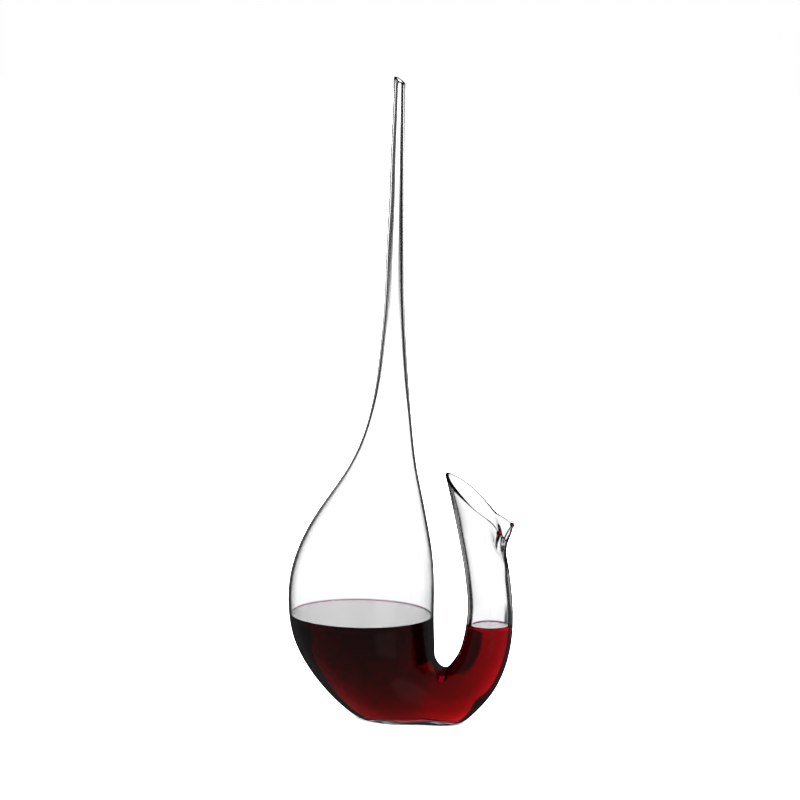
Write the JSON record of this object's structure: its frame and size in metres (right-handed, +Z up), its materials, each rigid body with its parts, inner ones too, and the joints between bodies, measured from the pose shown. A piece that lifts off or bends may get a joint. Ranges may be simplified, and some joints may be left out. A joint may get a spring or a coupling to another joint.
{
  "type": "wine decanter",
  "caption": "Free-standing blown-glass wine decanter: tall slender filling neck over a rounded bowl, bent pouring arm with an oblique lip, red beads, part filled with red wine.",
  "frame": {"origin": "centre of the flat ground contact under the base", "axes": "+Z up, +X from the bowl towards the pouring arm, the XZ plane is the symmetry plane"},
  "size_m": [0.202, 0.1128, 0.554],
  "materials": {
    "clear_glass": "clear, fire-polished",
    "red_glass": "clear red, fire-polished",
    "red_wine": "liquid, dark red and clear"
  },
  "bodies": {
    "root": {"bowl": "clear_glass", "filling_neck": "clear_glass", "pouring_arm": "clear_glass", "pouring_lip": "clear_glass", "crotch_web": "clear_glass", "base_pad": "clear_glass", "lip_bead_left": "red_glass", "lip_bead_right": "red_glass", "wine_fill": "red_wine"}
  },
  "joints": []
}
